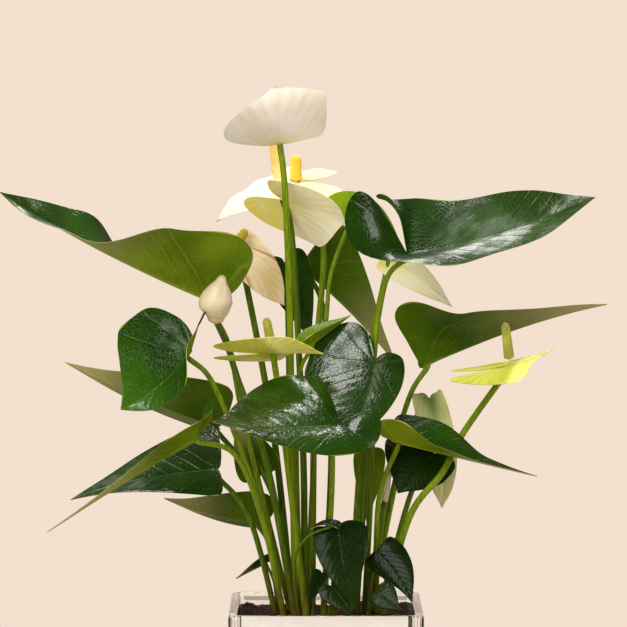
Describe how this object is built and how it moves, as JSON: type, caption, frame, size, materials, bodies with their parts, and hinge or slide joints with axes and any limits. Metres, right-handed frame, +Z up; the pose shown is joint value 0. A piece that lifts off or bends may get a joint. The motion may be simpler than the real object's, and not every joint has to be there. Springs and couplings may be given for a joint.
{
  "type": "potted anthurium",
  "caption": "Potted anthurium with glossy heart-shaped leaves and cream hooded flowers, rooted in dark soil in a square clear glass vase.",
  "frame": {"origin": "centre of the vase's flat foot, where it meets the table", "axes": "+Z up, +X to the right of the side that is looked at, +Y away from that side"},
  "size_m": [0.4375, 0.24, 0.5171],
  "materials": {
    "clear_glass": "clear, polished",
    "potting_soil": "rough, crumbly peat",
    "pale_card": "matt plain card",
    "leaf_green": "glossy above, satin below",
    "stem_green": "smooth satin",
    "petal_cream": "satin, faintly ribbed",
    "spadix_yellow": "bumpy, matt"
  },
  "bodies": {
    "root": {"bud_left_spathe": "petal_cream", "bud_left_stem": "stem_green", "bud_right_spathe": "petal_cream", "bud_right_stem": "stem_green", "flower_behind_spathe": "petal_cream", "flower_behind_stem": "stem_green", "flower_cream_spadix": "spadix_yellow", "flower_cream_spathe": "petal_cream", "flower_cream_stem": "stem_green", "flower_green_spadix": "spadix_yellow", "flower_green_spathe": "petal_cream", "flower_green_stem": "stem_green", "flower_hanging_spathe": "petal_cream", "flower_hanging_stem": "stem_green", "flower_peach_spadix": "spadix_yellow", "flower_peach_spathe": "petal_cream", "flower_peach_stem": "stem_green", "flower_right_spadix": "spadix_yellow", "flower_right_spathe": "petal_cream", "flower_right_stem": "stem_green", "flower_top_spadix": "spadix_yellow", "flower_top_spathe": "petal_cream", "flower_top_stem": "stem_green", "flower_white_spadix": "spadix_yellow", "flower_white_spathe": "petal_cream", "flower_white_stem": "stem_green", "front_card": "pale_card", "glass_vase": "clear_glass", "leaf_back_centre": "leaf_green", "leaf_back_dark": "leaf_green", "leaf_base_back": "leaf_green", "leaf_base_folded": "leaf_green", "leaf_base_heart": "leaf_green", "leaf_base_right": "leaf_green", "leaf_base_small": "leaf_green", "leaf_base_two": "leaf_green", "leaf_centre_back": "leaf_green", "leaf_centre_curled": "leaf_green", "leaf_far_left": "leaf_green", "leaf_far_right": "leaf_green", "leaf_front_centre": "leaf_green", "leaf_left_behind": "leaf_green", "leaf_left_dark": "leaf_green", "leaf_left_edge": "leaf_green", "leaf_left_heart": "leaf_green", "leaf_low_left": "leaf_green", "leaf_olive_square": "leaf_green", "leaf_right_hanging": "leaf_green", "leaf_right_heart": "leaf_green", "leaf_right_long": "leaf_green", "leaf_right_middle": "leaf_green", "leaf_rolled": "leaf_green", "leaf_young_top": "leaf_green", "soil": "potting_soil"}
  },
  "joints": []
}
